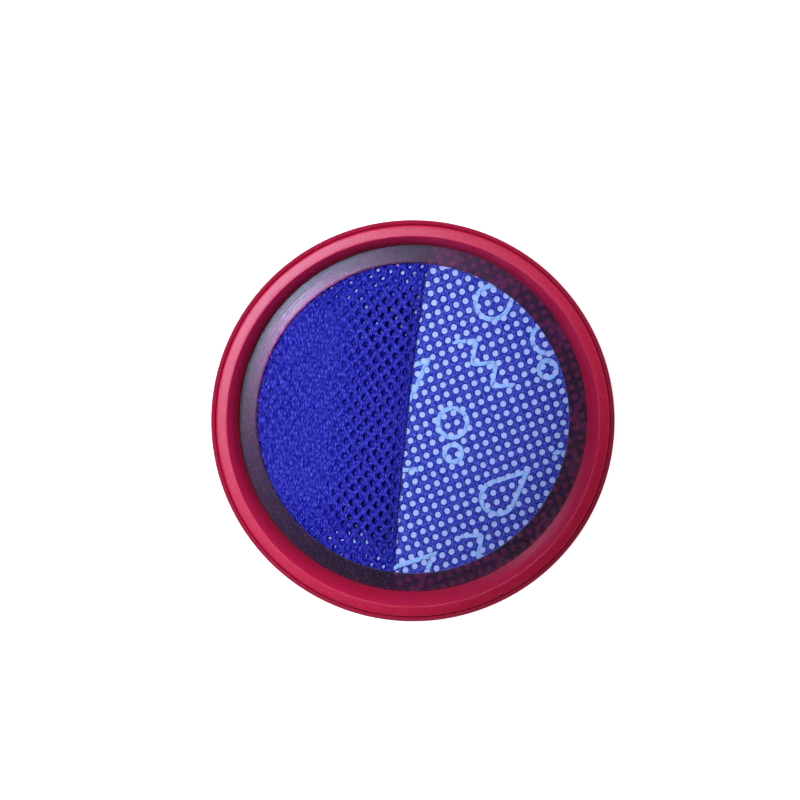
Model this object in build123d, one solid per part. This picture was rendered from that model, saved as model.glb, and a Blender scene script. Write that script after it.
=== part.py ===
from build123d import *
import math
import os

# A round washable vacuum filter that drops into a housing from above.
# The frame stands on z = 0 with its open face up, and the flap's free edge runs along Y.
# All sizes are in millimetres.

# Frame: a moulded rim with a cone that leads down to the mesh
FRAME_DIAMETER = 115.0
FRAME_HEIGHT = 24.0
FRAME_WALL = 1.8
RIM_OVERHANG = 1.1
RIM_FACE_WIDTH = 3.3
RIM_CHAMFER = 0.5
RIM_HEAD_HEIGHT = 2.0
RECESS_DEPTH = 9.0
CONE_RUN = 3.0

# Lip seal: a soft ring in a groove below the rim's head, with a lip turned up round the head
SEAL_GROOVE_HEIGHT = 2.4
SEAL_GROOVE_DEPTH = 1.4
SEAL_LIP_GAP = 0.5
SEAL_LIP_WIDTH = 0.9
SEAL_LIP_DROP = 0.4
SEAL_UNDERCUT = 1.2

# Retaining ring: a tinted clear annulus clamped under the rim's cone
RETAINER_SHOWN = 5.45
RETAINER_THICKNESS = 1.2

# Cloth layers below the ring; the fleece fills the height that the others leave
MESH_THICKNESS = 0.6
FELT_THICKNESS = 2.0
SCRIM_THICKNESS = 0.5

# Pull flap: a half-moon of mesh doubled over along its free edge, which bows back in the middle
FLAP_PLY = 0.45
FLAP_TUCK = 1.2
FOLD_OFFSET = 1.7
FOLD_BOW = 1.1
FOLD_CHAMFER = 0.3

# Mesh holes, staggered: the two sides of a cell, and the hole's radius
FACE_CELL_ACROSS = 11.6
FACE_CELL_ALONG = 11.6
FACE_HOLE_RADIUS = 2.2
FACE_HOLE_SIDES = 6
FACE_GRAIN_TURN = -17.8
FLAP_CELL_ACROSS = 9.6
FLAP_CELL_ALONG = 12.0
FLAP_HOLE_RADIUS = 2.0
FLAP_HOLE_SIDES = 4
HOLE_BORDER = 0.8

# Support grille: bars across a rim, tied by a few cross bars, raised above the frame's foot
GRILLE_THICKNESS = 2.8
GRILLE_RIM_WIDTH = 3.6
GRILLE_RAISE = 1.5
BAR_WIDTH = 1.8
BARS = 7
CROSS_BARS = 2

# Snap lugs inside the frame's wall that hold the grille up
LUG_COUNT = 3
LUG_ARC = 16.0
LUG_REACH = 0.9
LUG_LEAD_IN = 0.9

# Clearances between pieces that slide past each other
SEAL_CLEARANCE = 0.1
RETAINER_CLEARANCE = 0.2
GRILLE_CLEARANCE = 0.2
LAYER_CLEARANCE = 0.3

# Radii and heights that follow from the sizes above
wall_outer = FRAME_DIAMETER / 2
wall_inner = wall_outer - FRAME_WALL
rim_outer = wall_outer + RIM_OVERHANG
rim_inner = rim_outer - RIM_FACE_WIDTH
cone_inner = rim_inner - CONE_RUN
aperture = cone_inner - RETAINER_SHOWN
layer_radius = wall_inner - LAYER_CLEARANCE
hem_radius = cone_inner + FLAP_TUCK
flap_thickness = 2 * FLAP_PLY

groove_high = FRAME_HEIGHT - RIM_HEAD_HEIGHT
groove_low = groove_high - SEAL_GROOVE_HEIGHT
groove_radius = wall_outer - SEAL_GROOVE_DEPTH
retainer_top = FRAME_HEIGHT - RECESS_DEPTH
flap_top = retainer_top - RETAINER_THICKNESS
mesh_top = flap_top - flap_thickness
fleece_top = mesh_top - MESH_THICKNESS
scrim_low = GRILLE_RAISE + GRILLE_THICKNESS
felt_low = scrim_low + SCRIM_THICKNESS
fleece_low = felt_low + FELT_THICKNESS


def ring(points):
    """A ring turned round Z from a closed outline of (radius, height) points."""
    return revolve(Plane.XZ * make_face(Polyline(*points, close=True)), Axis.Z)


def layer_disc(low, top):
    """A round layer of the filter stack between two heights."""
    return Pos(0, 0, low) * extrude(Circle(layer_radius), top - low)


def staggered(across, along, turn):
    """Hole centres on two interleaved grids that cover the aperture."""
    columns = math.ceil(2 * aperture / across)
    rows = math.ceil(2 * aperture / along)
    centres = []
    for column in range(-columns, columns + 1):
        for row in range(-rows, rows + 1):
            if (column + row) % 2 == 0:
                centre = Vector(column * across / 2, row * along / 2)
                centres.append(centre.rotate(Axis.Z, turn))
    return centres


def fold_line(y):
    """The flap's free edge: x at a given y, furthest back at the middle."""
    return -FOLD_OFFSET + FOLD_BOW * (y / aperture) ** 2


def holes(centres, radius, sides, side):
    """Hole outlines inside the aperture, on one side of the flap's free edge (+1 is +X)."""
    border = radius + HOLE_BORDER
    inside = [c for c in centres if c.length < aperture - border]
    kept = [c for c in inside if side * (c.X - fold_line(c.Y)) > border]
    return Sketch() + [Pos(c) * RegularPolygon(radius, sides) for c in kept]


def make_rim_frame():
    frame = ring(
        [
            (wall_inner, 0),
            (wall_outer, 0),
            (wall_outer, groove_low),
            (groove_radius, groove_low),
            (groove_radius, groove_high),
            (rim_outer, groove_high),
            (rim_outer, FRAME_HEIGHT - RIM_CHAMFER),
            (rim_outer - RIM_CHAMFER, FRAME_HEIGHT),
            (rim_inner, FRAME_HEIGHT),
            (cone_inner, retainer_top),
            (wall_inner, retainer_top),
        ]
    )

    # Each lug has a flat top for the grille and a slope below it to lead the grille in
    root = wall_inner + FRAME_WALL / 2
    lug_outline = Polyline(
        (root, GRILLE_RAISE),
        (wall_inner - LUG_REACH, GRILLE_RAISE),
        (wall_inner, GRILLE_RAISE - LUG_LEAD_IN),
        (root, GRILLE_RAISE - LUG_LEAD_IN),
        close=True,
    )
    lug = revolve(Plane.XZ * make_face(lug_outline), Axis.Z, LUG_ARC)
    return frame + PolarLocations(0, LUG_COUNT) * lug


def make_lip_seal():
    root = groove_radius + SEAL_CLEARANCE
    root_low = groove_low + SEAL_CLEARANCE
    root_high = groove_high - SEAL_CLEARANCE
    lip_inner = rim_outer + SEAL_LIP_GAP
    lip_outer = lip_inner + SEAL_LIP_WIDTH
    lip_top = FRAME_HEIGHT - SEAL_LIP_DROP
    return ring(
        [
            (root, root_low),
            (lip_outer, root_low + SEAL_UNDERCUT),
            (lip_outer, lip_top),
            (lip_inner, lip_top),
            (lip_inner, root_high),
            (root, root_high),
        ]
    )


def make_retaining_ring():
    outer = wall_inner - RETAINER_CLEARANCE
    annulus = Circle(outer) - Circle(aperture)
    return Pos(0, 0, flap_top) * extrude(annulus, RETAINER_THICKNESS)


def make_pull_flap():
    # A wide circle trims the round cloth to the bow of its free edge
    bow_radius = (aperture**2 + FOLD_BOW**2) / (2 * FOLD_BOW)
    half_moon = Circle(hem_radius) - Pos(bow_radius - FOLD_OFFSET, 0) * Circle(bow_radius)
    flap = extrude(half_moon, flap_thickness)

    # The fold turns over softly, top and bottom
    arcs = flap.edges().filter_by(GeomType.CIRCLE)
    flap = chamfer(arcs.filter_by(lambda e: e.radius > FRAME_DIAMETER), FOLD_CHAMFER)

    centres = staggered(FLAP_CELL_ACROSS, FLAP_CELL_ALONG, 0)
    flap -= extrude(holes(centres, FLAP_HOLE_RADIUS, FLAP_HOLE_SIDES, -1), flap_thickness)
    return Pos(0, 0, mesh_top) * flap


def make_face_mesh():
    centres = staggered(FACE_CELL_ACROSS, FACE_CELL_ALONG, FACE_GRAIN_TURN)
    cloth = Circle(layer_radius) - holes(centres, FACE_HOLE_RADIUS, FACE_HOLE_SIDES, 1)
    return Pos(0, 0, fleece_top) * extrude(cloth, MESH_THICKNESS)


def make_support_grille():
    outer = wall_inner - GRILLE_CLEARANCE
    rim_edge = outer - GRILLE_RIM_WIDTH
    bar = Rectangle(BAR_WIDTH, 2 * outer)
    cross_bar = Rectangle(2 * outer, BAR_WIDTH)
    bar_pitch = 2 * rim_edge / (BARS + 1)
    cross_bar_pitch = 2 * rim_edge / (CROSS_BARS + 1)
    bars = GridLocations(bar_pitch, 0, BARS, 1) * bar
    bars += GridLocations(0, cross_bar_pitch, 1, CROSS_BARS) * cross_bar
    within_rim = Circle(rim_edge + GRILLE_RIM_WIDTH / 2)
    grille = Circle(outer) - Circle(rim_edge)
    for piece in bars:
        grille += piece & within_rim
    return Pos(0, 0, GRILLE_RAISE) * extrude(grille, GRILLE_THICKNESS)


nodes = {
    "rim_frame": make_rim_frame(),
    "lip_seal": make_lip_seal(),
    "retaining_ring": make_retaining_ring(),
    "pull_flap": make_pull_flap(),
    "face_mesh": make_face_mesh(),
    "fleece_pad": layer_disc(fleece_low, fleece_top),
    "fine_felt": layer_disc(felt_low, fleece_low),
    "back_scrim": layer_disc(scrim_low, felt_low),
    "support_grille": make_support_grille(),
}

os.makedirs("parts", exist_ok=True)
for name, solid in nodes.items():
    export_step(solid, f"parts/{name}.step")
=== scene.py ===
# %% [markdown]
# This lesson dresses a round washable vacuum filter. A red moulded rim holds a stack of cloth layers. A
# blue knitted mesh lies on top, a tinted clear ring clamps it, and a half-moon flap of the same mesh is
# there to pull the filter out. The construction model gives the places and sizes, and this file gives the
# looks. It could all be painted onto the plain solids, but the mesh only looks right with real holes that
# show what is below.

# %% Load the frame
import math

import bmesh
import bpy
from mathutils import Matrix, Vector, noise


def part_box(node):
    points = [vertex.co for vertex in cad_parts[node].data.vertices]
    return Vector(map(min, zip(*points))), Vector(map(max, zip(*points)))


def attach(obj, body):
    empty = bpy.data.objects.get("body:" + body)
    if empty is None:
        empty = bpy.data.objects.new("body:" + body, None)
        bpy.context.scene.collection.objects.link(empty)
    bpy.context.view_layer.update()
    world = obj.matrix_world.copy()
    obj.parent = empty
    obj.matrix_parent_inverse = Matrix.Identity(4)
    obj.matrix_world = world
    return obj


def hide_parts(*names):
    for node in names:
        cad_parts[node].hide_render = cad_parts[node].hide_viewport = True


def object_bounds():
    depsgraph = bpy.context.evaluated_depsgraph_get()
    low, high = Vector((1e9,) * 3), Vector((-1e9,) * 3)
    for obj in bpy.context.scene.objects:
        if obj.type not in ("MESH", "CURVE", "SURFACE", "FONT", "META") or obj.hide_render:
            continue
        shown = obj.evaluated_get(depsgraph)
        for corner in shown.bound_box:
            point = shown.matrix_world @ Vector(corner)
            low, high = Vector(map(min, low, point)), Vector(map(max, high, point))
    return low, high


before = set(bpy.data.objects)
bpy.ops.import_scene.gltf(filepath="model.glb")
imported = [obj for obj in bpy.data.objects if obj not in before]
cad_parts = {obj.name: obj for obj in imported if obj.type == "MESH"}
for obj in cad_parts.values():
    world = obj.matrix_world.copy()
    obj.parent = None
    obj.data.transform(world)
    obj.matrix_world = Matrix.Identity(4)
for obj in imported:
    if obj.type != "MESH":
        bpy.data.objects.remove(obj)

cad_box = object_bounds()
MM = 0.001
TOUCHING = MM / 1000
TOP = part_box("rim_frame")[1].z


def reach(node):
    """How far a round solid reaches from the axis, in millimetres."""
    return round(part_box(node)[1].x / MM, 3)


def levels(node):
    """The height of a solid's lowest and of its highest point, in millimetres."""
    return [round(corner.z / MM, 3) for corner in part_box(node)]


cad_size = cad_box[1] - cad_box[0]
print("filter is", round(cad_size.x / MM, 1), "mm across and", round(TOP / MM, 1), "mm high")

# %% [markdown]
# The camera looks down almost along the filter's axis, from a little towards the upper side of the
# picture. A camera can be aimed with a constraint, but three axes written into a matrix are easy to read
# and need no helper object. The filter sits a little low and right in the picture, so the whole camera
# moves sideways by that much.

# %% Camera
IMAGE_RIGHT = Vector((0.994, 0.108, 0)).normalized()
IMAGE_UP = Vector((-0.108, 0.994, 0)).normalized()
ABOVE = Vector((0, 0, 1))
TILT = math.radians(6.0)
DISTANCE = 0.8955
FOCAL_LENGTH = 135.7
FRAME_RIGHT_BY = 3.83 * MM
FRAME_DOWN_BY = 6.7 * MM

view_back = ABOVE * math.cos(TILT) + IMAGE_UP * math.sin(TILT)
view_up = IMAGE_UP * math.cos(TILT) - ABOVE * math.sin(TILT)
aim = Vector((0, 0, TOP)) - IMAGE_RIGHT * FRAME_RIGHT_BY + view_up * FRAME_DOWN_BY

lens = bpy.data.cameras.new("camera")
lens.lens = FOCAL_LENGTH
camera = bpy.data.objects.new("camera", lens)
camera.matrix_world = Matrix((IMAGE_RIGHT, view_up, view_back)).transposed().to_4x4()
camera.location = aim + view_back * DISTANCE
bpy.context.collection.objects.link(camera)
bpy.context.scene.camera = camera
bpy.context.scene.view_settings.view_transform = "Standard"
print("camera stands", round(camera.location.z, 3), "m above the table")

# %% [markdown]
# Every material below is built from nodes, and five small helpers keep that short. One adds a node and
# fills its inputs with numbers or with other nodes' outputs. Two more do a step of arithmetic and mix two
# colours, and the last two start a material and a node group. Wiring each node by hand would work as well,
# but it would hide the idea of each material in long lists of links.

# %% Node helpers
def put(tree, kind, values=None, **settings):
    """Adds a node, sets its properties, and fills inputs by name or number with values or outputs."""
    made = tree.nodes.new(kind)
    for name, value in settings.items():
        setattr(made, name, value)
    for socket, value in (values or {}).items():
        if isinstance(value, bpy.types.NodeSocket):
            tree.links.new(value, made.inputs[socket])
        else:
            made.inputs[socket].default_value = value
    return made


def calc(tree, operation, first, second=0.0, third=0.0):
    """One step of arithmetic on numbers or outputs."""
    step = put(tree, "ShaderNodeMath", {0: first, 1: second, 2: third}, operation=operation)
    return step.outputs[0]


def mix_colour(tree, share, first, second):
    """A colour between two others: the first where the share is 0, the second where it is 1."""
    mix = put(tree, "ShaderNodeMix", {0: share, 6: first, 7: second}, data_type="RGBA")
    return mix.outputs[2]


def new_material(name):
    """A material with nothing in it but a Principled shader, and that shader."""
    material = bpy.data.materials.new(name)
    material.use_nodes = True
    return material, material.node_tree, material.node_tree.nodes["Principled BSDF"]


def new_group(name, inputs, outputs):
    """An empty node group with these sockets, and its inner input and output nodes."""
    tree = bpy.data.node_groups.new(name, "ShaderNodeTree")
    for socket in inputs:
        kind = "NodeSocketVector" if socket == "Vector" else "NodeSocketFloat"
        tree.interface.new_socket(socket, in_out="INPUT", socket_type=kind)
    for socket in outputs:
        tree.interface.new_socket(socket, in_out="OUTPUT", socket_type="NodeSocketFloat")
    return tree, tree.nodes.new("NodeGroupInput"), tree.nodes.new("NodeGroupOutput")


print("node helpers ready")

# %% [markdown]
# The filter stands on a pale table that turns up into a pale wall far away. A plane with a lamp on it would
# do, but its brightness would change across the picture. So what the camera sees of it is mostly its own
# white, with enough ordinary white below to keep the filter's shadow. From underneath the table is left
# clear, so that the grille can be looked at.

# %% Table and wall
STUDIO_REACH = 2.0
WALL_HEIGHT = 1.1
WALL_BEND = 0.6
STUDIO_STEPS = 64
OWN_WHITE = 0.95
TABLE_WHITE = (0.55, 0.55, 0.55, 1)

bm = bmesh.new()
corners = [bm.verts.new(p) for p in ((0, 0, 0), (STUDIO_REACH, 0, 0), (STUDIO_REACH, 0, WALL_HEIGHT))]
for first, second in zip(corners, corners[1:]):
    bm.edges.new((first, second))
bmesh.ops.spin(
    bm, geom=bm.edges[:], cent=(0, 0, 0), axis=ABOVE, angle=2 * math.pi, steps=STUDIO_STEPS, use_merge=True
)
bmesh.ops.remove_doubles(bm, verts=bm.verts[:], dist=MM)
foot = [e for e in bm.edges if all(abs(v.co.z) < MM and v.co.length > 1 for v in e.verts)]
bmesh.ops.bevel(bm, geom=foot, offset=WALL_BEND, segments=8, profile=0.5, affect="EDGES", material=-1)
bmesh.ops.recalc_face_normals(bm, faces=bm.faces[:])
if next(f for f in bm.faces if f.calc_center_median().length < 1).normal.z < 0:
    bmesh.ops.reverse_faces(bm, faces=bm.faces[:])
for face in bm.faces:
    face.smooth = True
studio_mesh = bpy.data.meshes.new("studio")
bm.to_mesh(studio_mesh)
bm.free()
studio = bpy.data.objects.new("studio", studio_mesh)
bpy.context.collection.objects.link(studio)

material, tree, shader = new_material("pale_table")
shader.inputs["Base Color"].default_value = TABLE_WHITE
shader.inputs["Roughness"].default_value = 1
shader.inputs["Specular IOR Level"].default_value = 0
rays = put(tree, "ShaderNodeLightPath")
side = put(tree, "ShaderNodeNewGeometry")
seen = calc(tree, "MAXIMUM", rays.outputs["Is Camera Ray"], rays.outputs["Is Glossy Ray"])
seen = calc(tree, "MAXIMUM", seen, rays.outputs["Is Transmission Ray"])
seen_from_above = calc(tree, "MULTIPLY", seen, calc(tree, "SUBTRACT", 1.0, side.outputs["Backfacing"]))
glow = put(tree, "ShaderNodeEmission", {"Strength": OWN_WHITE})
lit = put(tree, "ShaderNodeAddShader", {0: glow.outputs[0], 1: shader.outputs[0]})
clear = put(tree, "ShaderNodeBsdfTransparent")
shown = put(tree, "ShaderNodeMixShader", {0: seen_from_above, 1: clear.outputs[0], 2: lit.outputs[0]})
tree.links.new(shown.outputs[0], tree.nodes["Material Output"].inputs["Surface"])
studio_mesh.materials.append(material)
print("table faces", len(studio_mesh.polygons))

# %% [markdown]
# A soft, slightly bluish panel stands close by at the upper left. Its beam is narrow and aimed at that side
# of the rim, which gives the rim a bright side and a dark side. Several lamps would be more even. A dim
# room fills the shadows: dark overhead, because the glossy ring mirrors what is overhead, brighter at its
# walls, and brightest at the upper right, as beside a window, which lights the far side of the cone. The
# camera itself sees white behind the filter.

# %% Light
PANEL_TURN = math.radians(147)
PANEL_LEAN = math.radians(22)
PANEL_DISTANCE = 0.35
PANEL_SIZE = 0.18
PANEL_POWER = 0.138
PANEL_SPREAD = math.radians(20)
PANEL_COLOUR = (0.66, 0.82, 1.10)
AIM_LEFT_BY, AIM_UP_BY = 53 * MM, 23 * MM
PANEL_AIM = Vector((0, 0, TOP)) - IMAGE_RIGHT * AIM_LEFT_BY + IMAGE_UP * AIM_UP_BY
ROOM_OVERHEAD = (0.03, 0.03, 0.033, 1)
ROOM_WALLS = (0.36, 0.36, 0.38, 1)
WINDOW_WALL = (0.95, 0.95, 1.0, 1)
WINDOW_TURN = math.radians(45)

panel = bpy.data.lights.new("panel", "AREA")
panel.size = PANEL_SIZE
panel.energy = PANEL_POWER
panel.spread = PANEL_SPREAD
panel.color = PANEL_COLOUR
panel_side = IMAGE_RIGHT * math.cos(PANEL_TURN) + IMAGE_UP * math.sin(PANEL_TURN)
panel_back = panel_side * math.sin(PANEL_LEAN) + ABOVE * math.cos(PANEL_LEAN)
lamp = bpy.data.objects.new("panel", panel)
lamp.location = PANEL_AIM + panel_back * PANEL_DISTANCE
lamp.rotation_mode = "QUATERNION"
lamp.rotation_quaternion = panel_back.to_track_quat("Z", "Y")
bpy.context.collection.objects.link(lamp)

room = bpy.data.worlds.new("room")
room.use_nodes = True
bpy.context.scene.world = room
tree = room.node_tree
direction = put(tree, "ShaderNodeTexCoord").outputs["Generated"]
height = put(tree, "ShaderNodeSeparateXYZ", {0: direction}).outputs["Z"]
overhead = put(tree, "ShaderNodeMapRange", {"Value": height, "From Min": 0.15, "From Max": 0.6}).outputs[0]
window_side = IMAGE_RIGHT * math.cos(WINDOW_TURN) + IMAGE_UP * math.sin(WINDOW_TURN)
facing = put(tree, "ShaderNodeVectorMath", {0: direction, 1: window_side}, operation="DOT_PRODUCT")
facing = facing.outputs["Value"]
window = put(tree, "ShaderNodeMapRange", {"Value": facing, "From Min": 0.45, "From Max": 0.9}).outputs[0]
lit_room = mix_colour(tree, overhead, ROOM_WALLS, ROOM_OVERHEAD)
lit_room = mix_colour(tree, window, lit_room, WINDOW_WALL)
in_picture = put(tree, "ShaderNodeLightPath").outputs["Is Camera Ray"]
tree.links.new(mix_colour(tree, in_picture, lit_room, (1, 1, 1, 1)), tree.nodes["Background"].inputs["Color"])
print("panel at", [round(x, 3) for x in lamp.location])

# %% [markdown]
# Moulded plastic is never quite smooth. Its surface has a fine grain, and a turned mould leaves faint
# rings. The group also gives small specks, which the red finishes paint lighter as painted glints. The rim,
# the grille, the seal and the tinted ring all have some of this, so it is one node group, placed in each
# material with its own amounts. Image textures could hold it, but noise needs no picture.

# %% Moulded grain
tree, given, result = new_group(
    "moulded_grain", ["Vector", "Grain Size", "Ring Pitch"], ["Grain", "Glints", "Rings"]
)
place = given.outputs["Vector"]
grain_scale = calc(tree, "DIVIDE", 1.0, given.outputs["Grain Size"])
grain = put(tree, "ShaderNodeTexNoise", {"Vector": place, "Scale": grain_scale, "Detail": 3.0})
tree.links.new(grain.outputs["Fac"], result.inputs["Grain"])

# Painted glints: a mask of small specks that the red finishes paint lighter.
glint_field = put(tree, "ShaderNodeTexNoise", {"Vector": place, "Scale": grain_scale, "Detail": 1.0})
glints = put(
    tree, "ShaderNodeMapRange", {"Value": glint_field.outputs["Fac"], "From Min": 0.62, "From Max": 0.74}
)
tree.links.new(glints.outputs[0], result.inputs["Glints"])

flat = put(tree, "ShaderNodeVectorMath", {0: place, 1: (1, 1, 0)}, operation="MULTIPLY")
radius = put(tree, "ShaderNodeVectorMath", {0: flat.outputs[0]}, operation="LENGTH").outputs["Value"]
ring_number = calc(tree, "DIVIDE", radius, given.outputs["Ring Pitch"])
along_radius = put(tree, "ShaderNodeCombineXYZ", {0: ring_number})
rings = put(tree, "ShaderNodeTexNoise", {"Vector": along_radius.outputs[0], "Scale": 1.0, "Detail": 2.0})
tree.links.new(rings.outputs["Fac"], result.inputs["Rings"])
moulded_grain = tree
print("group", tree.name, "has", len(tree.nodes), "nodes")

# %% [markdown]
# The rim is cherry-red polypropylene with a semi-matte finish: the colour wanders a little, small specks
# are painted lighter as painted glints, and the moulding rings show as hairlines. A plain red would look
# like a screen colour. The same recipe with other numbers makes the softer seal, so it is a function.

# %% Red plastic
HAIRLINE_PITCH = 0.35 * MM
DRIFT_SCALE = 60.0


def red_finish(name, colour, deep_colour, roughness, shine, grain_size, grain_lift, ring_share):
    """A moulded red: two shades mixed by the grain, lighter specks as painted glints, and bump from grain and
    rings.
    """
    material, tree, shader = new_material(name)
    place = put(tree, "ShaderNodeTexCoord").outputs["Object"]
    texture = put(tree, "ShaderNodeGroup", {"Vector": place}, node_tree=moulded_grain)
    texture.inputs["Grain Size"].default_value = grain_size
    texture.inputs["Ring Pitch"].default_value = HAIRLINE_PITCH
    drift = put(tree, "ShaderNodeTexNoise", {"Vector": place, "Scale": DRIFT_SCALE, "Detail": 2.0})
    drift_shade = calc(tree, "MULTIPLY", drift.outputs["Fac"], 0.4)
    shade = calc(tree, "MULTIPLY_ADD", texture.outputs["Grain"], 0.6, drift_shade)
    body = mix_colour(tree, shade, deep_colour, colour)
    lighter = tuple(min(1, 1.25 * c + 0.03) for c in colour[:3]) + (1,)
    # Painted glints: small specks of a lighter red.
    glint_share = calc(tree, "MULTIPLY", texture.outputs["Glints"], 0.7)
    tree.links.new(mix_colour(tree, glint_share, body, lighter), shader.inputs["Base Color"])
    rough = calc(tree, "MULTIPLY_ADD", texture.outputs["Grain"], 0.2, roughness - 0.1)
    tree.links.new(rough, shader.inputs["Roughness"])
    shader.inputs["Specular IOR Level"].default_value = shine
    relief = calc(tree, "MULTIPLY_ADD", texture.outputs["Rings"], ring_share, texture.outputs["Grain"])
    bump = put(tree, "ShaderNodeBump", {"Height": relief, "Strength": 0.8, "Distance": grain_lift})
    tree.links.new(bump.outputs[0], shader.inputs["Normal"])
    return material


red_plastic = red_finish(
    "red_plastic", colour=(0.70, 0.004, 0.050, 1), deep_colour=(0.56, 0.002, 0.032, 1),
    roughness=0.40, shine=0.5, grain_size=0.50 * MM, grain_lift=0.14 * MM, ring_share=0.4,
)
red_seal = red_finish(
    "red_seal", colour=(0.46, 0.002, 0.032, 1), deep_colour=(0.37, 0.002, 0.024, 1),
    roughness=0.62, shine=0.2, grain_size=0.8 * MM, grain_lift=0.03 * MM, ring_share=0.3,
)
print("red finishes", red_plastic.name, red_seal.name)

# %% [markdown]
# Rim, seal and tinted ring are all round, so each is an outline turned once round the axis, as on a lathe.
# The outline's corners are rounded first, because a moulded edge always has a small radius and that is what
# catches the light. A bevel after the turning would give the same edge with far more work for the computer.

# %% Turned rings
RING_STEPS = 192
CORNER_STEPS = 3
SMOOTH_UP_TO = math.radians(32)


def turned(outline):
    """A ring turned round Z from a closed outline of (radius, height, rounding), all in millimetres."""
    bm = bmesh.new()
    corners = [bm.verts.new((radius * MM, 0, height * MM)) for radius, height, rounding in outline]
    bm.faces.new(corners)
    for corner, (radius, height, rounding) in zip(corners, outline):
        if rounding:
            bmesh.ops.bevel(
                bm, geom=[corner], offset=rounding * MM, offset_type="OFFSET",
                segments=CORNER_STEPS, profile=0.5, affect="VERTICES", material=-1,
            )
    bmesh.ops.delete(bm, geom=bm.faces[:], context="FACES_ONLY")
    bmesh.ops.spin(
        bm, geom=bm.edges[:], cent=(0, 0, 0), axis=ABOVE, angle=2 * math.pi, steps=RING_STEPS, use_merge=True
    )
    bmesh.ops.recalc_face_normals(bm, faces=bm.faces[:])
    return bm


def dress(bm, name, material, slot, *nodes):
    """Makes a piece of a finished mesh: it rides on the filter, wears a finish and stands for CAD nodes."""
    mesh = bpy.data.meshes.new(name)
    bm.to_mesh(mesh)
    bm.free()
    mesh.shade_smooth()
    mesh.set_sharp_from_angle(angle=SMOOTH_UP_TO)
    mesh.materials.append(material)
    piece = bpy.data.objects.new(name, mesh)
    bpy.context.collection.objects.link(piece)
    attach(piece, "root")
    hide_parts(*nodes)
    triangles = sum(len(face.vertices) - 2 for face in mesh.polygons)
    print(name, "has", triangles, "triangles")
    return piece


print("rings are turned in", RING_STEPS, "steps")

# %% [markdown]
# The rim's top face is a little crowned and falls slightly outwards, and a cone with a soft bend leads from
# it down to the ring. Three snap lugs inside the wall hold the grille. They could be separate blocks pushed
# into the wall, but a lug is a short piece of another turned ring, so it is spun through a small angle and
# joined to the wall with a Boolean, which leaves no hidden faces.

# %% Moulded rim
RIM_OUT, RING_OUT, GRILLE_OUT = [reach(node) for node in ("rim_frame", "retaining_ring", "support_grille")]
RIM_FOOT, RIM_TOP = levels("rim_frame")
RING_LOW, RING_TOP = levels("retaining_ring")
GRILLE_LOW, GRILLE_TOP = levels("support_grille")
RIM_OVERHANG, RIM_FACE, RIM_FALL, RIM_CROWN = 1.1, 3.3, 0.55, 0.08
CONE_RUN, BEND_RUN, BEND_DROP = 3.0, 1.95, 3.8
HEAD_HEIGHT, GROOVE_HEIGHT, GROOVE_DEPTH = 2.0, 2.4, 1.4
RING_CLEARANCE = 0.2

WALL_IN, WALL_OUT = RING_OUT + RING_CLEARANCE, RIM_OUT - RIM_OVERHANG
RIM_IN = RIM_OUT - RIM_FACE
CONE_IN = RIM_IN - CONE_RUN
GROOVE_RADIUS, GROOVE_HIGH = WALL_OUT - GROOVE_DEPTH, RIM_TOP - HEAD_HEIGHT
GROOVE_LOW = GROOVE_HIGH - GROOVE_HEIGHT
LUG_REACH, LUG_LEAD_IN = 0.9, 0.9
LUG_TOP, LUG_LOW, LUG_ROOT = GRILLE_LOW, GRILLE_LOW - LUG_LEAD_IN, WALL_IN + 0.6
LUG_ARC, LUG_STEPS, LUG_COUNT = math.radians(16), 8, 3

rim_bm = turned([
    (WALL_IN, RIM_FOOT, 0.25),
    (WALL_OUT, RIM_FOOT, 0.35),
    (WALL_OUT, GROOVE_LOW, 0.2),
    (GROOVE_RADIUS, GROOVE_LOW, 0),
    (GROOVE_RADIUS, GROOVE_HIGH, 0),
    (RIM_OUT, GROOVE_HIGH, 0.2),
    (RIM_OUT, RIM_TOP - RIM_FALL, 0.55),
    ((RIM_OUT + RIM_IN) / 2, RIM_TOP - RIM_FALL / 2 + RIM_CROWN, 0.9),
    (RIM_IN, RIM_TOP, 0.2),
    (RIM_IN - BEND_RUN, RIM_TOP - BEND_DROP, 2.0),
    (CONE_IN, RING_TOP, 0),
    (WALL_IN, RING_TOP, 0),
])
rim = dress(rim_bm, "moulded_rim", red_plastic, "red_plastic", "rim_frame")

lug_bm = bmesh.new()
lug_outline = ((LUG_ROOT, LUG_TOP), (WALL_IN - LUG_REACH, LUG_TOP), (WALL_IN, LUG_LOW), (LUG_ROOT, LUG_LOW))
lug_corners = [lug_bm.verts.new((radius * MM, 0, height * MM)) for radius, height in lug_outline]
start_face = lug_bm.faces.new(lug_corners)
bmesh.ops.spin(
    lug_bm, geom=[start_face, *start_face.edges], cent=(0, 0, 0), axis=ABOVE, angle=LUG_ARC, steps=LUG_STEPS
)
bmesh.ops.spin(
    lug_bm, geom=lug_bm.verts[:] + lug_bm.edges[:] + lug_bm.faces[:], cent=(0, 0, 0), axis=ABOVE,
    angle=2 * math.pi * (LUG_COUNT - 1) / LUG_COUNT, steps=LUG_COUNT - 1, use_duplicate=True,
)
bmesh.ops.recalc_face_normals(lug_bm, faces=lug_bm.faces[:])
lug_mesh = bpy.data.meshes.new("lugs")
lug_bm.to_mesh(lug_mesh)
lug_bm.free()
lugs = bpy.data.objects.new("lugs", lug_mesh)
bpy.context.collection.objects.link(lugs)
join = rim.modifiers.new("lugs", "BOOLEAN")
join.operation = "UNION"
join.object = lugs
joined = bpy.data.meshes.new_from_object(rim.evaluated_get(bpy.context.evaluated_depsgraph_get()))
rim.modifiers.clear()
rim.data = joined
bpy.data.objects.remove(lugs)
print("rim with lugs has", len(rim.data.polygons), "faces")

# %% [markdown]
# The seal is a softer red ring that sits in the groove. Its lip turns up round the rim's head and falls a
# little inwards, and a thin dark crease is left between the two. A bent tube could stand for the lip alone,
# but one turned outline keeps root and lip together. Its edges are rounder, because rubber has no sharp
# ones.

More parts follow.
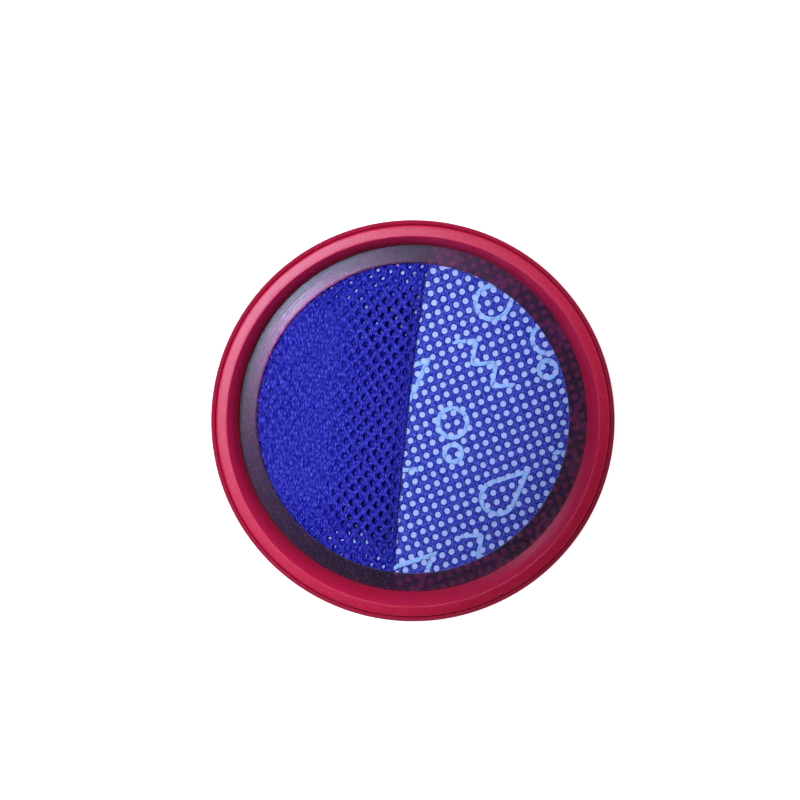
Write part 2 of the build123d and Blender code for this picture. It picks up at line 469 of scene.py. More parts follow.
# %% Soft seal
SEAL_OUT = reach("lip_seal")
SEAL_LOW, SEAL_TOP = levels("lip_seal")
SEAL_CLEARANCE, CREASE, UNDERCUT = 0.1, 0.12, 1.2
DROP_OUTSIDE, DROP_INSIDE = 0.1, 0.45
SEAL_ROOT, SEAL_HIGH = GROOVE_RADIUS + SEAL_CLEARANCE, GROOVE_HIGH - SEAL_CLEARANCE
SEAL_IN = RIM_OUT + CREASE

seal_bm = turned([
    (SEAL_ROOT, SEAL_LOW, 0.1),
    (SEAL_OUT, SEAL_LOW + UNDERCUT, 0.5),
    (SEAL_OUT, SEAL_TOP - DROP_OUTSIDE, 0.45),
    (SEAL_IN, SEAL_TOP - DROP_INSIDE, 0.2),
    (SEAL_IN, SEAL_HIGH, 0.15),
    (SEAL_ROOT, SEAL_HIGH, 0.1),
])
dress(seal_bm, "soft_seal", red_seal, "red_seal", "lip_seal")

# %% [markdown]
# The ring that clamps the mesh is clear plastic with a dark red tint, so the mesh goes on below it, darker
# and redder. A half-transparent red would lay a red veil over the blue. Light that passes through a tint is
# multiplied by it, so the shader transmits instead. Low turned ridges and a hazy coat spread the panel's
# reflection, and the underside is a little rougher, because it is pressed on cloth and shows no second
# reflection. Its shadow is let through with a lighter tint, because light bent by glass is slow to trace.

# %% Tinted ring
RING_SHOWN = 5.45
RING_IN = CONE_IN - RING_SHOWN
TINT = (0.40, 0.055, 0.20, 1)
SHADOW_TINT = (0.60, 0.21, 0.32, 1)
RIDGES, RIDGE_DEPTH, RIDGE_SHARE, RING_LIP = 9, 0.07, 0.9, 0.6
RIDGE_TOP, RIDGE_FOOT = RING_TOP - 0.02, RING_TOP - RIDGE_DEPTH
RIDGES_FROM = CONE_IN + 0.1
TURNING_PITCH, TURNING_DEPTH = 0.8 * MM, 0.06 * MM
CLEAR_ROUGHNESS, TURNED_ROUGHNESS, PRESSED_ROUGHNESS = 0.03, 0.10, 0.12

material, tree, shader = new_material("tinted_clear")
shader.inputs["Base Color"].default_value = TINT
shader.inputs["Transmission Weight"].default_value = 1
shader.inputs["IOR"].default_value = 1.47
shader.inputs["Coat Weight"].default_value = 0.8
shader.inputs["Coat Roughness"].default_value = 0.29
place = put(tree, "ShaderNodeTexCoord").outputs["Object"]
texture = put(tree, "ShaderNodeGroup", {"Vector": place}, node_tree=moulded_grain)
texture.inputs["Ring Pitch"].default_value = TURNING_PITCH
turning = texture.outputs["Rings"]
height = put(tree, "ShaderNodeSeparateXYZ", {0: place}).outputs["Z"]
underside = calc(tree, "LESS_THAN", height, (RING_LOW + RIDGE_DEPTH) * MM)
rough = calc(tree, "MULTIPLY_ADD", turning, TURNED_ROUGHNESS, CLEAR_ROUGHNESS)
rough = calc(tree, "MULTIPLY_ADD", underside, PRESSED_ROUGHNESS, rough)
tree.links.new(rough, shader.inputs["Roughness"])
bump = put(tree, "ShaderNodeBump", {"Height": turning, "Strength": 0.5, "Distance": TURNING_DEPTH})
tree.links.new(bump.outputs[0], shader.inputs["Normal"])
in_shadow = put(tree, "ShaderNodeLightPath").outputs["Is Shadow Ray"]
passed = put(tree, "ShaderNodeBsdfTransparent", {"Color": SHADOW_TINT})
mixed = put(tree, "ShaderNodeMixShader", {0: in_shadow, 1: shader.outputs[0], 2: passed.outputs[0]})
tree.links.new(mixed.outputs[0], tree.nodes["Material Output"].inputs["Surface"])
tinted_clear = material

ridge_run = (CONE_IN - RING_IN - RING_LIP) / RIDGES
ridges = []
for number in range(RIDGES):
    outer = CONE_IN - number * ridge_run
    ridges.append((outer, RIDGE_FOOT, 0))
    ridges.append((outer - RIDGE_SHARE * ridge_run, RIDGE_TOP, 0))
ring_bm = turned([
    (RING_IN, RING_LOW, 0.15),
    (RING_OUT, RING_LOW, 0),
    (RING_OUT, RIDGE_TOP, 0),
    (RIDGES_FROM, RIDGE_TOP, 0),
    *ridges,
    (RING_IN + RING_LIP, RIDGE_FOOT, 0),
    (RING_IN, RIDGE_TOP, 0.25),
])
dress(ring_bm, "tinted_ring", tinted_clear, "tinted_clear", "retaining_ring")

# %% [markdown]
# The mesh is a warp knit: fine yarns run in chains and part round a hole, and open again one row on. At
# arm's length it reads as a blue sheet with staggered holes, and close up as small slanted loops. The holes
# are real, so that white fleece shows through. The loops are far too many to model and become a node group
# for bump and for colour, where their crowns are painted lighter as a highlight and the dips between them
# deeper as painted shade.

# %% Knit loops
tree, given, result = new_group("knit_loops", ["Vector", "Wale", "Course"], ["Loops", "Slubs"])
parts = put(tree, "ShaderNodeSeparateXYZ", {0: given.outputs["Vector"]})
wale = calc(tree, "DIVIDE", parts.outputs["X"], given.outputs["Wale"])
course = calc(tree, "DIVIDE", parts.outputs["Y"], given.outputs["Course"])
across = calc(tree, "PINGPONG", wale, 0.5)
slanted = calc(tree, "ADD", course, calc(tree, "MULTIPLY", across, 1.5))
strand = calc(tree, "ABSOLUTE", calc(tree, "SINE", calc(tree, "MULTIPLY", slanted, math.pi)))
leg = calc(tree, "ABSOLUTE", calc(tree, "SINE", calc(tree, "MULTIPLY", wale, math.pi)))
loops = calc(tree, "MULTIPLY", strand, calc(tree, "MULTIPLY_ADD", leg, 0.6, 0.4))
tree.links.new(loops, result.inputs["Loops"])
loop_place = put(tree, "ShaderNodeCombineXYZ", {0: wale, 1: course})
slubs = put(tree, "ShaderNodeTexNoise", {"Vector": loop_place.outputs[0], "Scale": 1.2, "Detail": 2.0})
tree.links.new(slubs.outputs["Fac"], result.inputs["Slubs"])
knit_loops = tree
print("group", tree.name, "has", len(tree.nodes), "nodes")

# %% [markdown]
# The mesh over the fleece carries a light-blue print of thin outlines. Here it is a plain water theme:
# drops, bubbles and short waves, repeated as printed cloth is. It could be drawn as curves on the cloth,
# but ink has no height, so it is a mask worked out from distances to each outline, in a group of its own.

# %% Outline print
PRINT_ACROSS, PRINT_ALONG = 45 * MM, 38 * MM
PRINT_LINE = 1.4 * MM
DROP_AT, DROP_RADIUS, DROP_TIP = (-10 * MM, 3 * MM), 5.0 * MM, 12.0 * MM
BUBBLES = (((9 * MM, 8 * MM), 4.4 * MM), ((16 * MM, 2 * MM), 2.6 * MM))
WAVE_AT, WAVE_LENGTH, WAVE_LIFT, WAVE_SPAN = (2 * MM, -11 * MM), 9.0 * MM, 2.1 * MM, 11 * MM

tree, given, result = new_group("outline_print", ["Vector"], ["Mask"])
parts = put(tree, "ShaderNodeSeparateXYZ", {0: given.outputs["Vector"]})
tile_x = calc(tree, "WRAP", parts.outputs["X"], PRINT_ACROSS / 2, -PRINT_ACROSS / 2)
tile_y = calc(tree, "WRAP", parts.outputs["Y"], PRINT_ALONG / 2, -PRINT_ALONG / 2)


def printed_line(distance):
    """1 within half a line's width of an outline, else 0."""
    return calc(tree, "LESS_THAN", calc(tree, "ABSOLUTE", distance), PRINT_LINE / 2)


def from_point(point):
    """Sideways and upward distance from a point of the tile."""
    return calc(tree, "SUBTRACT", tile_x, point[0]), calc(tree, "SUBTRACT", tile_y, point[1])


def from_circle(x, y, radius):
    """Distance outside a circle."""
    square = calc(tree, "MULTIPLY_ADD", x, x, calc(tree, "MULTIPLY", y, y))
    return calc(tree, "SUBTRACT", calc(tree, "SQRT", square), radius)


lines = []
for centre, radius in BUBBLES:
    lines.append(printed_line(from_circle(*from_point(centre), radius)))

# A drop is a circle below and two straight lines above that touch it and meet in the tip
drop_x, drop_y = from_point(DROP_AT)
lean = math.asin(DROP_RADIUS / DROP_TIP)
side_part = calc(tree, "MULTIPLY", calc(tree, "ABSOLUTE", drop_x), math.cos(lean))
tip_part = calc(tree, "MULTIPLY", calc(tree, "SUBTRACT", drop_y, DROP_TIP), math.sin(lean))
above_touch = calc(tree, "GREATER_THAN", drop_y, DROP_RADIUS * math.sin(lean))
to_side = calc(tree, "ADD", side_part, tip_part)
to_round = from_circle(drop_x, drop_y, DROP_RADIUS)
drop = calc(tree, "MULTIPLY_ADD", above_touch, calc(tree, "SUBTRACT", to_side, to_round), to_round)
lines.append(printed_line(drop))

wave_x, wave_y = from_point(WAVE_AT)
swing = calc(tree, "SINE", calc(tree, "MULTIPLY", wave_x, 2 * math.pi / WAVE_LENGTH))
wave = calc(tree, "SUBTRACT", wave_y, calc(tree, "MULTIPLY", swing, WAVE_LIFT))
within = calc(tree, "LESS_THAN", calc(tree, "ABSOLUTE", wave_x), WAVE_SPAN)
lines.append(calc(tree, "MULTIPLY", printed_line(calc(tree, "MULTIPLY", wave, 0.7)), within))

mask = lines[0]
for line in lines[1:]:
    mask = calc(tree, "MAXIMUM", mask, line)
tree.links.new(mask, result.inputs["Mask"])
outline_print = tree
print("group", tree.name, "has", len(tree.nodes), "nodes")

# %% [markdown]
# Both cloths are the same royal-blue polyester, which is matte with a faint shine on each loop. That shine
# is partly painted: loop crowns take a lighter colour as a painted highlight and the dips between them a
# deeper one as painted shade. The flap's yarn is given a deeper blue than the face's, as painted shade for
# the doubled cloth, whose holes show more blue and not white fleece. Cloth coordinates come from the flat
# cut, kept as a UV map, so that the loops follow the cloth when it is folded. Object coordinates would let
# them slide over it. The cloth also carries a number that grows towards each hole, and the yarn is painted
# darker there, as painted shade where it rounds into the hole.

# %% Blue mesh
WALE, COURSE, LOOP_LIFT = 0.78 * MM, 1.5 * MM, 0.24 * MM
PRINT_TURN = math.radians(24)


def blue_knit(name, colour, deep_colour, hole_shade_colour, ink=None):
    """Blue polyester knit: painted highlight and shade on loops, painted shade at holes, ink where printed.
    """
    material, tree, shader = new_material(name)
    place = put(tree, "ShaderNodeUVMap").outputs[0]
    texture = put(tree, "ShaderNodeGroup", {"Vector": place}, node_tree=knit_loops)
    texture.inputs["Wale"].default_value = WALE
    texture.inputs["Course"].default_value = COURSE
    lit_yarn = put(
        tree, "ShaderNodeMapRange",
        {"Value": texture.outputs["Slubs"], "From Min": 0.35, "From Max": 0.68, "To Min": 0.1, "To Max": 1.3},
    )
    loops = texture.outputs["Loops"]
    # Painted highlight and shade: loop crowns take the lighter colour, the dips between loops the deeper one.
    shade = calc(tree, "MULTIPLY", loops, lit_yarn.outputs[0])
    # Painted shade: towards each hole's edge the yarn turns to the darker hole-shade colour.
    painted_hole_shade = put(tree, "ShaderNodeAttribute", attribute_name="painted_hole_shade").outputs["Fac"]
    body = mix_colour(tree, painted_hole_shade, mix_colour(tree, shade, deep_colour, colour), hole_shade_colour)
    if ink:
        turned_place = put(tree, "ShaderNodeMapping", {"Vector": place, "Rotation": (0, 0, PRINT_TURN)})
        printed = put(tree, "ShaderNodeGroup", {"Vector": turned_place.outputs[0]}, node_tree=outline_print)
        taken_up = calc(tree, "MULTIPLY_ADD", texture.outputs["Slubs"], 0.3, 0.75)
        cover = calc(tree, "MULTIPLY", printed.outputs["Mask"], taken_up)
        body = mix_colour(tree, cover, body, ink)
    tree.links.new(body, shader.inputs["Base Color"])
    shader.inputs["Roughness"].default_value = 0.7
    shader.inputs["Specular IOR Level"].default_value = 0.12
    bump = put(tree, "ShaderNodeBump", {"Height": loops, "Strength": 0.9, "Distance": LOOP_LIFT})
    tree.links.new(bump.outputs[0], shader.inputs["Normal"])
    return material


# Colours of the painted shade at the holes' edges.
FACE_HOLE_SHADE, FLAP_HOLE_SHADE = (0.002, 0.005, 0.14, 1), (0.001, 0.001, 0.27, 1)
face_blue = blue_knit(
    "face_blue", (0.19, 0.22, 0.88, 1), (0.014, 0.020, 0.37, 1), FACE_HOLE_SHADE, ink=(0.41, 0.64, 0.95, 1)
)
# Painted shade: the flap gets a deeper copy of the face's blue, for the doubled, shadowed cloth.
flap_blue = blue_knit("flap_blue", (0.115, 0.105, 0.65, 1), (0.001, 0.001, 0.22, 1), FLAP_HOLE_SHADE)
print("cloth finishes", face_blue.name, flap_blue.name)

# %% [markdown]
# A cloth with a thousand holes is one cell, repeated. The cell starts from a circle of twelve points, the
# hole's edge. It is extruded twice: to a lip where the yarn rounds over, and to the lozenge where cells
# meet. Spin copies it along both directions of the lattice, and doubles are merged where cells touch. Each
# point keeps two layers of its own: its way from the middle of its hole, and the amount of painted shade,
# which is 1 on the hole's edge and 0 between holes. A Boolean with a thousand cutters would give the same
# holes, but far more slowly.

# %% Mesh cloth
CELL_POINTS = 12
LIP_WIDTH = 0.30 * MM
LIP_DROP = 0.14 * MM
LIP_SHADE = 0.35
TRIM_SNIPS = 72
SLIVER = 0.07 * MM


def everything(bm):
    """All that a mesh holds, for operators that ask for geometry."""
    return bm.verts[:] + bm.edges[:] + bm.faces[:]


def mesh_cell(across, along, hole_across, hole_along, roundness):
    """One lozenge of cloth round one hole, flat on Z = 0 with the hole's edge pressed down a little."""
    bm = bmesh.new()
    bmesh.ops.create_circle(bm, segments=CELL_POINTS, radius=1)
    loop_edges = bm.edges[:]
    for ring in (2, 3):
        made = bmesh.ops.extrude_edge_only(bm, edges=loop_edges)["geom"]
        fresh = [g for g in made if isinstance(g, bmesh.types.BMVert)]
        loop_edges = [g for g in made if isinstance(g, bmesh.types.BMEdge) and set(g.verts) <= set(fresh)]
        bmesh.ops.scale(bm, vec=Vector((1, 1, 1)) * ring / (ring - 1), verts=fresh)

    hole = (hole_across / 2, hole_along / 2, roundness, -LIP_DROP, 1)
    lip = (hole_across / 2 + LIP_WIDTH, hole_along / 2 + LIP_WIDTH, roundness, -LIP_DROP / 5, LIP_SHADE)
    border = (across / 2, along / 2, 0, 0, 0)
    from_hole = bm.verts.layers.float_vector.new("from_hole")
    # Painted shade amount: 1 on the hole's edge, LIP_SHADE on the lip, 0 between holes.
    painted_hole_shade = bm.verts.layers.float.new("painted_hole_shade")
    for vert in bm.verts:
        loop_sizes = (hole, lip, border)[round(vert.co.length) - 1]
        half_across, half_along, share, height, vert[painted_hole_shade] = loop_sizes
        x, y = vert.co.normalized().xy
        pull = share + (1 - share) / (abs(x) + abs(y))
        vert.co = (half_across * x * pull, half_along * y * pull, height)
        if share:
            vert[from_hole] = vert.co
    return bm


def trim_round(bm, radius, inset=0.0):
    """Snips a flat sheet to a disc; with an inset, to two half-discs that each stop that much short."""
    for snip in range(TRIM_SNIPS):
        turn = 2 * math.pi * (snip + 0.5) / TRIM_SNIPS
        outward = Vector((math.cos(turn), math.sin(turn), 0))
        edge = outward * radius - Vector((math.copysign(inset, outward.x), 0, 0))
        bmesh.ops.bisect_plane(
            bm, geom=everything(bm), dist=TOUCHING, plane_co=edge, plane_no=outward, clear_outer=True
        )
    bmesh.ops.remove_doubles(bm, verts=bm.verts[:], dist=SLIVER)


def mesh_sheet(bm, across, along, turn, radius, inset=0.0, shift=0.0):
    """Repeats a cell on its centred lattice, keeps the flat coordinates as a UV map, and trims it round."""
    rows = math.ceil(2 * radius * math.hypot(across, along) / (across * along)) + 2
    for step in (Vector((across / 2, along / 2, 0)), Vector((-across / 2, along / 2, 0))):
        bmesh.ops.spin(
            bm, geom=everything(bm), cent=(0, 0, 0), axis=ABOVE, dvec=step, angle=0, steps=rows - 1,
            use_duplicate=True,
        )
    bmesh.ops.remove_doubles(bm, verts=bm.verts[:], dist=MM / 100)
    bmesh.ops.translate(bm, vec=(shift, -along * (rows - 1) / 2, 0), verts=bm.verts[:])
    far = [v for v in bm.verts if v.co.length > radius + along]
    bmesh.ops.delete(bm, geom=far, context="VERTS")
    flat_cut = bm.loops.layers.uv.new("flat_cut")
    for face in bm.faces:
        for loop in face.loops:
            loop[flat_cut].uv = loop.vert.co.xy
    bmesh.ops.rotate(bm, cent=(0, 0, 0), matrix=Matrix.Rotation(turn, 3, "Z"), verts=bm.verts[:])
    trim_round(bm, radius, inset)
    bmesh.ops.recalc_face_normals(bm, faces=bm.faces[:])
    if sum(face.normal.z for face in bm.faces) < 0:
        bmesh.ops.reverse_faces(bm, faces=bm.faces[:])
    return bm


def thicken(piece, thickness):
    """Gives a sheet its thickness, below the side that its faces look to, and walls its holes and edge."""
    wall = piece.modifiers.new("thickness", "SOLIDIFY")
    wall.thickness = thickness
    wall.offset = -1


print("each hole of the mesh has", CELL_POINTS, "points")

# %% [markdown]
# The face mesh lies flat and stretched on the fleece, clamped round its edge. Its grain is turned against
# the flap's by about nineteen degrees. A cell could be thick from the start, but trimming would then leave
# the cut edge open. So the sheet is given its thickness last, which walls the edge and every hole.

# %% Face mesh
LAYER_RADIUS, LAYER_GAP = reach("face_mesh"), 0.02
FACE_TOP, FACE_THICKNESS = (levels("face_mesh")[1] - LAYER_GAP) * MM, 0.48 * MM
FACE_RADIUS = LAYER_RADIUS * MM
FACE_ACROSS, FACE_ALONG, FACE_HOLE = 4.18 * MM, 4.30 * MM, 1.95 * MM
FACE_GRAIN = math.radians(-17.8)

face_bm = mesh_cell(FACE_ACROSS, FACE_ALONG, FACE_HOLE, FACE_HOLE, roundness=1.0)
face_bm = mesh_sheet(face_bm, FACE_ACROSS, FACE_ALONG, FACE_GRAIN, FACE_RADIUS)
face_area = sum(face.calc_area() for face in face_bm.faces)
bmesh.ops.translate(face_bm, vec=(0, 0, FACE_TOP), verts=face_bm.verts[:])
face_cloth = dress(face_bm, "knit_face", face_blue, "blue_mesh", "face_mesh")
thicken(face_cloth, FACE_THICKNESS)
print("face cloth without its holes is", round(face_area * 1e4, 1), "square cm")

# %% [markdown]
# The flap is a round of mesh doubled over along its middle, with the fold as its free edge. It is cut flat
# first and then folded by a formula: the distance from the fold becomes a way round a small half circle and
# on along the upper or lower ply. The upper ply puffs up beside the fold, which is why its holes look dark
# there. Further off it settles, and under the ring it is pressed flat. Away from the fold the cloth is
# slack and its holes draw shut, except near both ends of the fold, where the ring stretches it. A cloth
# simulation could fold it too, but a formula keeps every hole in its row.

# %% Folded flap
FLAP_RADIUS = 53.4 * MM
FLAP_ACROSS, FLAP_ALONG = 3.70 * MM, 4.56 * MM
FLAP_HOLE_ACROSS, FLAP_HOLE_ALONG, FLAP_ROUNDNESS = 1.50 * MM, 1.95 * MM, 0.6
FLAP_GRAIN = math.radians(1.3)
PLY = 0.40 * MM
FOLD_AT, FOLD_BOW, FOLD_REACH, FOLD_RADIUS = -1.7 * MM, 1.1 * MM, 0.6 * MM, 0.5 * MM
PUFF, PUFF_RUN = 0.8 * MM, 3.4 * MM
SETTLES_FROM, SETTLED_AT, SETTLED_SHARE = 9.0 * MM, 30.0 * MM, 0.9
PRESSED_AT, FREE_AT = 45.5 * MM, 33.0 * MM
OPEN_UNTIL, CLOSED_FROM, CLOSED_SHARE = 15.0 * MM, 33.0 * MM, 0.5
STRETCHED_FROM, STRETCHED_AT, STRETCH = 24.0 * MM, 36.0 * MM, 1.35
FLAP_REST = FACE_TOP + LAYER_GAP * MM
RIPPLE, RIPPLE_RUN = 0.14 * MM, 11 * MM


def eased(share):
    """A share from 0 to 1 that starts and ends gently."""
    share = max(0.0, min(1.0, share))
    return share * share * (3 - 2 * share)


def fold_line(y):
    """Where the flap's free edge stands, a little bowed."""
    return FOLD_AT + FOLD_BOW * (y / (RING_IN * MM)) ** 2


def fold_over(vert):
    """Takes one point of the flat cut to its place on the folded flap."""
    slack = eased((abs(vert.co.x) - OPEN_UNTIL) / (CLOSED_FROM - OPEN_UNTIL))
    stretched = STRETCH * eased((abs(vert.co.y) - STRETCHED_FROM) / (STRETCHED_AT - STRETCHED_FROM))
    away, y, off_plane = vert.co - vert[from_hole] * CLOSED_SHARE * slack * (1 - stretched)
    quarter = math.hypot(FOLD_REACH, FOLD_RADIUS) * math.pi / math.sqrt(8)
    turn = max(-1.0, min(1.0, away / quarter)) * math.pi / 2
    past = max(0.0, abs(away) - quarter)
    x = fold_line(y) - FOLD_REACH + (FOLD_REACH + off_plane) * math.cos(turn) - past
    settled = SETTLED_SHARE * eased((past - SETTLES_FROM) / (SETTLED_AT - SETTLES_FROM))
    pressed = max(eased((math.hypot(x, y) - FREE_AT) / (PRESSED_AT - FREE_AT)), settled)
    ripple = RIPPLE * noise.noise(Vector((x, y, 0)) / RIPPLE_RUN) if away > 0 else 0
    free_gap = FOLD_RADIUS + PUFF * eased(past / PUFF_RUN) + ripple
    half_gap = free_gap + (PLY / 2 - free_gap) * pressed
    z = FLAP_REST + PLY + half_gap * (1 + math.sin(turn)) + (off_plane - PLY / 2) * math.sin(turn) - PLY / 2
    vert.co = (x, y, z)


flap_bm = mesh_cell(FLAP_ACROSS, FLAP_ALONG, FLAP_HOLE_ACROSS, FLAP_HOLE_ALONG, FLAP_ROUNDNESS)
flap_bm = mesh_sheet(
    flap_bm, FLAP_ACROSS, FLAP_ALONG, FLAP_GRAIN, FLAP_RADIUS, inset=-FOLD_AT, shift=FLAP_ACROSS / 4
)
flap_area = sum(face.calc_area() for face in flap_bm.faces)
from_hole = flap_bm.verts.layers.float_vector["from_hole"]
for vert in flap_bm.verts:
    fold_over(vert)
flap_bm.normal_update()
upper = max(flap_bm.faces, key=lambda face: face.calc_center_median().z)
if upper.normal.z < 0:
    bmesh.ops.reverse_faces(flap_bm, faces=flap_bm.faces[:])
heights = [vert.co.z / MM for vert in flap_bm.verts]
flap = dress(flap_bm, "folded_flap", flap_blue, "blue_mesh", "pull_flap")
thicken(flap, PLY)
print("flap lies from", round(min(heights), 2), "to", round(max(heights), 2), "mm")

# %% [markdown]
# Below the mesh are three white nonwovens: lofty fleece, dense felt and a thin scrim at the back. All are
# tangled fibres, so they share one group of fine crossed noise. Hair particles would show every fibre, but
# the fleece is only seen through small holes and the scrim from a distance.

# %% White fibres
tree, given, result = new_group("white_fibres", ["Vector", "Fibre Size"], ["Fibres", "Clumps"])
place = given.outputs["Vector"]
fibre_scale = calc(tree, "DIVIDE", 1.0, given.outputs["Fibre Size"])
tangle = put(
    tree, "ShaderNodeTexNoise", {"Vector": place, "Scale": fibre_scale, "Detail": 4.0, "Distortion": 2.5}
)
ridges = calc(tree, "ABSOLUTE", calc(tree, "SUBTRACT", tangle.outputs["Fac"], 0.5))
fibres = calc(tree, "SUBTRACT", 1.0, calc(tree, "MULTIPLY", ridges, 5.0))
tree.links.new(fibres, result.inputs["Fibres"])
clump_scale = calc(tree, "MULTIPLY", fibre_scale, 0.15)
clumps = put(tree, "ShaderNodeTexNoise", {"Vector": place, "Scale": clump_scale, "Detail": 2.0})
tree.links.new(clumps.outputs["Fac"], result.inputs["Clumps"])
white_fibres = tree


def nonwoven(name, colour, deep_colour, fibre_size, lift, bond_pitch=None):
    """White fibres; with a bond pitch, pressed together at small points in a diamond grid."""
    material, tree, shader = new_material(name)
    place = put(tree, "ShaderNodeTexCoord").outputs["Object"]
    texture = put(tree, "ShaderNodeGroup", {"Vector": place}, node_tree=white_fibres)
    texture.inputs["Fibre Size"].default_value = fibre_size
    clump_shade = calc(tree, "MULTIPLY", texture.outputs["Clumps"], 0.6)
    shade = calc(tree, "MULTIPLY_ADD", texture.outputs["Fibres"], 0.5, clump_shade)
    body = mix_colour(tree, shade, deep_colour, colour)
    relief = texture.outputs["Fibres"]
    if bond_pitch:
        parts = put(tree, "ShaderNodeSeparateXYZ", {0: place})
        turns = 2 * math.pi / bond_pitch
        waves = [calc(tree, "SINE", calc(tree, "MULTIPLY", parts.outputs[axis], turns)) for axis in "XY"]
        grid = calc(tree, "MULTIPLY", waves[0], waves[1])
        bonds = put(tree, "ShaderNodeMapRange", {"Value": grid, "From Min": 0.55, "From Max": 0.8}).outputs[0]
        relief = calc(tree, "SUBTRACT", calc(tree, "MULTIPLY", relief, 0.4), bonds)
        body = mix_colour(tree, calc(tree, "MULTIPLY", bonds, 0.55), body, deep_colour)
    tree.links.new(body, shader.inputs["Base Color"])
    shader.inputs["Roughness"].default_value = 0.9
    shader.inputs["Specular IOR Level"].default_value = 0.2
    bump = put(tree, "ShaderNodeBump", {"Height": relief, "Strength": 0.6, "Distance": lift})
    tree.links.new(bump.outputs[0], shader.inputs["Normal"])
    return material


fleece_white = nonwoven(
    "fleece_white", (0.61, 0.65, 0.98, 1), (0.46, 0.51, 0.90, 1), fibre_size=0.30 * MM, lift=0.12 * MM
)
felt_white = nonwoven(
    "felt_white", (0.84, 0.84, 0.84, 1), (0.68, 0.68, 0.69, 1), fibre_size=0.22 * MM, lift=0.06 * MM
)
scrim_white = nonwoven(
    "scrim_white", (0.86, 0.87, 0.88, 1), (0.62, 0.63, 0.66, 1), fibre_size=0.35 * MM, lift=0.12 * MM,
    bond_pitch=2.4 * MM,
)
print("white finishes ready")

# %% [markdown]
# The fleece is a thick soft pad with a rounded edge and a slightly uneven top, held between the mesh and
# the felt. A cylinder's top is one large face and stays flat. So the pad is turned from an open outline
# that starts and ends on the axis, with many points along the top for the unevenness. The felt is made in
# the same way, thinner and firmer.

# %% Fleece and felt
FLEECE_LOW, FLEECE_HIGH = levels("fleece_pad")
FELT_LOW, FELT_HIGH = levels("fine_felt")
FLEECE_LOFT = 0.08
PAD_STEPS = 96
TOP_CUTS = 40
UNEVEN_RUN = 4 * MM


def soft_disc(low, top, rounding, uneven):
    """A round pad between two heights, in millimetres, with a rounded edge and an uneven top."""
    bm = bmesh.new()
    outline = ((0, low), (LAYER_RADIUS, low), (LAYER_RADIUS, top), (0, top))
    corners = [bm.verts.new((radius * MM, 0, height * MM)) for radius, height in outline]
    bm.faces.new(corners)
    bmesh.ops.bevel(
        bm, geom=corners[1:3], offset=rounding * MM, offset_type="OFFSET", segments=4, profile=0.5,
        affect="VERTICES", material=-1,
    )
    bmesh.ops.delete(bm, geom=bm.faces[:], context="FACES_ONLY")
    axis_edge = [e for e in bm.edges if all(v.co.x == 0 for v in e.verts)]
    bmesh.ops.delete(bm, geom=axis_edge, context="EDGES")
    long_edges = [e for e in bm.edges if e.calc_length() > LAYER_RADIUS * MM / 2]
    bmesh.ops.subdivide_edges(bm, edges=long_edges, cuts=TOP_CUTS)
    bmesh.ops.spin(
        bm, geom=bm.edges[:], cent=(0, 0, 0), axis=ABOVE, angle=2 * math.pi, steps=PAD_STEPS, use_merge=True
    )
    bmesh.ops.remove_doubles(bm, verts=bm.verts[:], dist=TOUCHING)
    bmesh.ops.recalc_face_normals(bm, faces=bm.faces[:])
    for vert in bm.verts:
        if vert.co.z > (top - rounding / 2) * MM:
            vert.co.z -= uneven * MM * (0.5 + 0.5 * noise.noise(vert.co / UNEVEN_RUN))
    return bm


fleece_bm = soft_disc(FLEECE_LOW, FLEECE_HIGH + FLEECE_LOFT, rounding=1.2, uneven=0.12)
fleece = dress(fleece_bm, "fleece_fill", fleece_white, "white_fleece", "fleece_pad")
felt_bm = soft_disc(FELT_LOW, FELT_HIGH - LAYER_GAP, rounding=0.4, uneven=0.05)
felt = dress(felt_bm, "felt_layer", felt_white, "white_felt", "fine_felt")

# %% [markdown]
# The grille at the back is red like the rim, with seven straight bars and two cross bars. It could be built
# bar by bar, but its solid already has the right shape. So a copy of that is merged and only its edges are
# rounded, as a mould would leave them.

# %% Moulded grille
GRILLE_ROUNDING = 0.28 * MM
FLAT_WITHIN, SHARP_FROM = math.radians(0.5), math.radians(60)

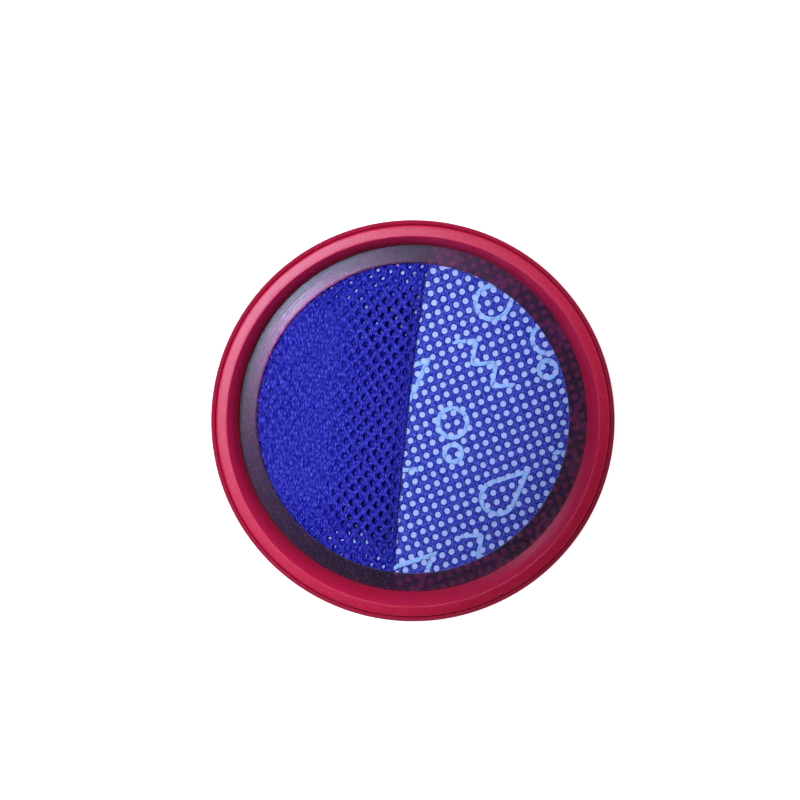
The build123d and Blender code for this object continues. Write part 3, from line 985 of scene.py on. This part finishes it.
grille_bm = bmesh.new()
grille_bm.from_mesh(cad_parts["support_grille"].data)
bmesh.ops.remove_doubles(grille_bm, verts=grille_bm.verts[:], dist=TOUCHING)
bmesh.ops.dissolve_limit(
    grille_bm, angle_limit=FLAT_WITHIN, verts=grille_bm.verts[:], edges=grille_bm.edges[:]
)
sharp = [e for e in grille_bm.edges if e.is_manifold and e.calc_face_angle() > SHARP_FROM]
bmesh.ops.bevel(
    grille_bm, geom=sharp, offset=GRILLE_ROUNDING, offset_type="OFFSET", segments=2, profile=0.5,
    affect="EDGES", clamp_overlap=True, material=-1,
)
grille = dress(grille_bm, "moulded_grille", red_plastic, "red_plastic", "support_grille")

# %% [markdown]
# The scrim lies on the grille and the layers above press it down a little between the bars. A cloth
# simulation could press it, but the bars are regular, so a formula is enough. It starts as a grid, is
# trimmed round, and each point sinks by an amount that is nought along the middle of the bars.

# %% Bonded scrim
SCRIM_LOW, SCRIM_THICKNESS = (GRILLE_TOP + LAYER_GAP) * MM, 0.42 * MM
SCRIM_GRID = 120
SCRIM_SAG = 0.55 * MM
BARS, CROSS_BARS, GRILLE_RIM_WIDTH = 7, 2, 3.6
GRILLE_RIM_EDGE, FLAT_BY_RIM = (GRILLE_OUT - GRILLE_RIM_WIDTH) * MM, 5 * MM
BAR_PITCH, CROSS_BAR_PITCH = 2 * GRILLE_RIM_EDGE / (BARS + 1), 2 * GRILLE_RIM_EDGE / (CROSS_BARS + 1)
BAR_RISE, BAR_REST = 1.2, 0.15
CROSS_BAR_RISE, CROSS_BAR_REST = 4, 0.3

scrim_bm = bmesh.new()
bmesh.ops.create_grid(scrim_bm, x_segments=SCRIM_GRID, y_segments=SCRIM_GRID, size=LAYER_RADIUS * MM)
trim_round(scrim_bm, LAYER_RADIUS * MM)
for vert in scrim_bm.verts:
    between_bars = abs(math.sin(math.pi * vert.co.x / BAR_PITCH))
    between_cross_bars = abs(math.cos(math.pi * vert.co.y / CROSS_BAR_PITCH))
    off_bars = eased(between_bars * BAR_RISE - BAR_REST)
    off_cross_bars = eased(between_cross_bars * CROSS_BAR_RISE - CROSS_BAR_REST)
    inside = eased((GRILLE_RIM_EDGE - vert.co.length) / FLAT_BY_RIM)
    hang = off_bars * off_cross_bars * inside
    vert.co.z = SCRIM_LOW + SCRIM_THICKNESS - SCRIM_SAG * hang
bmesh.ops.solidify(scrim_bm, geom=scrim_bm.faces[:], thickness=SCRIM_THICKNESS)
scrim = dress(scrim_bm, "bonded_scrim", scrim_white, "white_scrim", "back_scrim")
